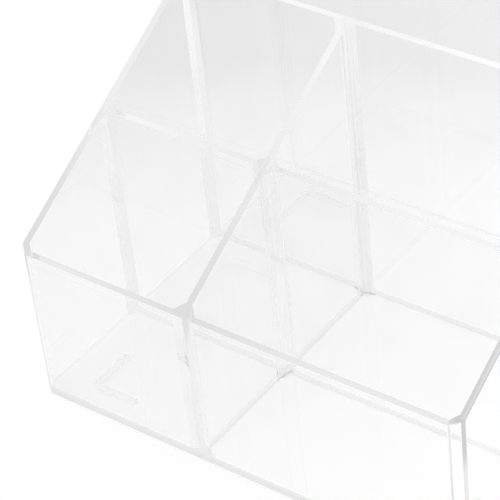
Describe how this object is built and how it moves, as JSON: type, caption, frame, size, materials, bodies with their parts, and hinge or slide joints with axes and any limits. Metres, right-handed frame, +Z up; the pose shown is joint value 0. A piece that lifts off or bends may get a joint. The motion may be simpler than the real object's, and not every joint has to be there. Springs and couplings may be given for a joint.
{
  "type": "compartment storage box",
  "caption": "Clear open-topped organizer box with a rim that slopes up to the back, two rows of narrow and wide compartments, one across the back and angled rib feet.",
  "frame": {"origin": "under the middle of the box, on the surface that its feet stand on", "axes": "+X along the front to the right, +Y from the low front to the high back, +Z up"},
  "size_m": [0.1818, 0.1604, 0.1528],
  "materials": {
    "clear_plastic": "colourless see-through plastic, polished, with a very faint cool tint at its edges"
  },
  "bodies": {
    "root": {"outer_wall": "clear_plastic", "back_wall": "clear_plastic", "base_panel": "clear_plastic", "long_divider": "clear_plastic", "left_cross_divider_1": "clear_plastic", "right_cross_divider_1": "clear_plastic", "left_cross_divider_2": "clear_plastic", "right_cross_divider_2": "clear_plastic", "front_left_foot": "clear_plastic", "front_right_foot": "clear_plastic", "back_right_foot": "clear_plastic", "back_left_foot": "clear_plastic"}
  },
  "joints": []
}
